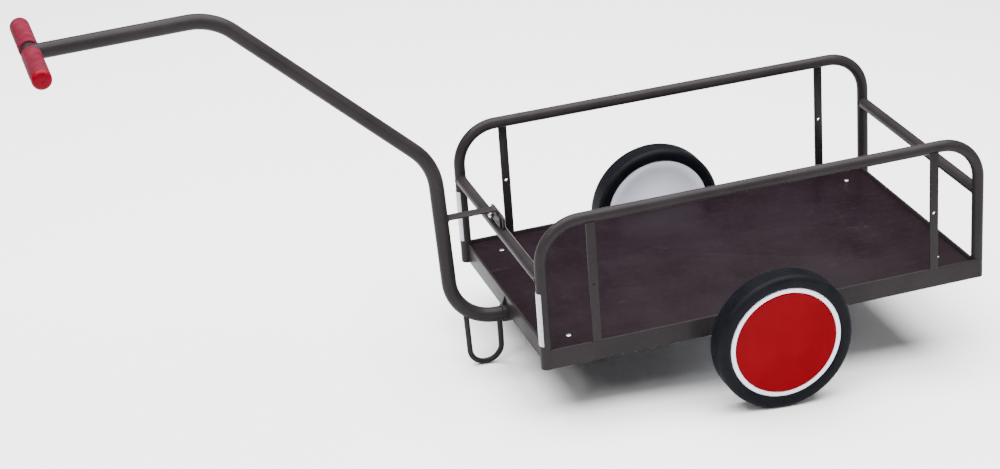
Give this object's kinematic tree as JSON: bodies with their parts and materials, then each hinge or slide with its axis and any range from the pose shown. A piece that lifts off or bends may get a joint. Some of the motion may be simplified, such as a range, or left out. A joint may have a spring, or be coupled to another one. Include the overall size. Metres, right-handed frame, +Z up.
{
  "type": "hand wagon",
  "caption": "Hand wagon with a hooped tube frame around a plywood deck, solid-tyred wheels, and a bent tubular drawbar with a gripped T-handle and stand loop.",
  "frame": {"origin": "centre of the overall box on the floor, under the middle of the wagon", "axes": "+X to the rear, away from the pull handle; +Y to the wagon's right side, along the axle; +Z up. The chassis leans forward by about four degrees, onto its stand loop."},
  "size_m": [1.962, 0.783, 0.8546],
  "materials": {
    "powder_coated_steel": "satin dark anthracite powder coat",
    "plywood": "dark brown phenolic film, smooth, faintly mottled",
    "zinc_plated_steel": "bright zinc",
    "reflective_tape": "pale grey retroreflective film",
    "tyre_rubber": "solid ribbed rubber, blue-black",
    "rim_plastic": "bluish white moulded plastic",
    "red_cap_plastic": "red moulded plastic, satin",
    "red_grip_plastic": "red moulded plastic sleeve",
    "nylon": "natural nylon"
  },
  "bodies": {
    "chassis": {"side_hoop_left": "powder_coated_steel", "side_hoop_right": "powder_coated_steel", "crossbar_front": "powder_coated_steel", "crossbar_rear": "powder_coated_steel", "stanchion_front_left": "powder_coated_steel", "stanchion_front_right": "powder_coated_steel", "stanchion_rear_left": "powder_coated_steel", "stanchion_rear_right": "powder_coated_steel", "rail_left": "powder_coated_steel", "rail_right": "powder_coated_steel", "rail_front": "powder_coated_steel", "rail_rear": "powder_coated_steel", "cross_member_1": "powder_coated_steel", "cross_member_2": "powder_coated_steel", "cross_member_3": "powder_coated_steel", "cross_member_4": "powder_coated_steel", "deck": "plywood", "deck_screw_1": "zinc_plated_steel", "deck_screw_2": "zinc_plated_steel", "deck_screw_3": "zinc_plated_steel", "deck_screw_4": "zinc_plated_steel", "reflector_left": "reflective_tape", "reflector_right": "reflective_tape", "drawbar_socket": "powder_coated_steel", "clamp_screw": "zinc_plated_steel", "socket_gusset": "powder_coated_steel", "crossbar_lug": "powder_coated_steel", "lug_stud": "zinc_plated_steel", "axle": "zinc_plated_steel", "axle_bracket_left": "powder_coated_steel", "axle_spacer_left": "powder_coated_steel", "washer_left": "zinc_plated_steel", "axle_clip_left": "zinc_plated_steel", "axle_bracket_right": "powder_coated_steel", "axle_spacer_right": "powder_coated_steel", "washer_right": "zinc_plated_steel", "axle_clip_right": "zinc_plated_steel"},
    "drawbar": {"drawbar_tube": "powder_coated_steel", "t_bar": "powder_coated_steel", "grip_left": "red_grip_plastic", "grip_right": "red_grip_plastic", "stand_loop": "powder_coated_steel", "brace": "powder_coated_steel", "brace_nut": "zinc_plated_steel"},
    "wheel_left": {"tyre_left": "tyre_rubber", "rim_left": "rim_plastic", "wheel_cap_left": "red_cap_plastic", "bush_left": "nylon"},
    "wheel_right": {"tyre_right": "tyre_rubber", "rim_right": "rim_plastic", "wheel_cap_right": "red_cap_plastic", "bush_right": "nylon"}
  },
  "joints": [
    {"name": "wheel_left_spin", "type": "hinge", "parent": "chassis", "child": "wheel_left", "pos_m": [0.47818, -0.363, 0.14997], "axis": [0, 1, 0], "continuous": true},
    {"name": "wheel_right_spin", "type": "hinge", "parent": "chassis", "child": "wheel_right", "pos_m": [0.47818, 0.363, 0.14997], "axis": [0, 1, 0], "continuous": true},
    {"name": "drawbar_slide", "type": "slide", "parent": "chassis", "child": "drawbar", "axis": [-0.9975, 0, -0.0706], "range_m": [0, 0.07]}
  ]
}
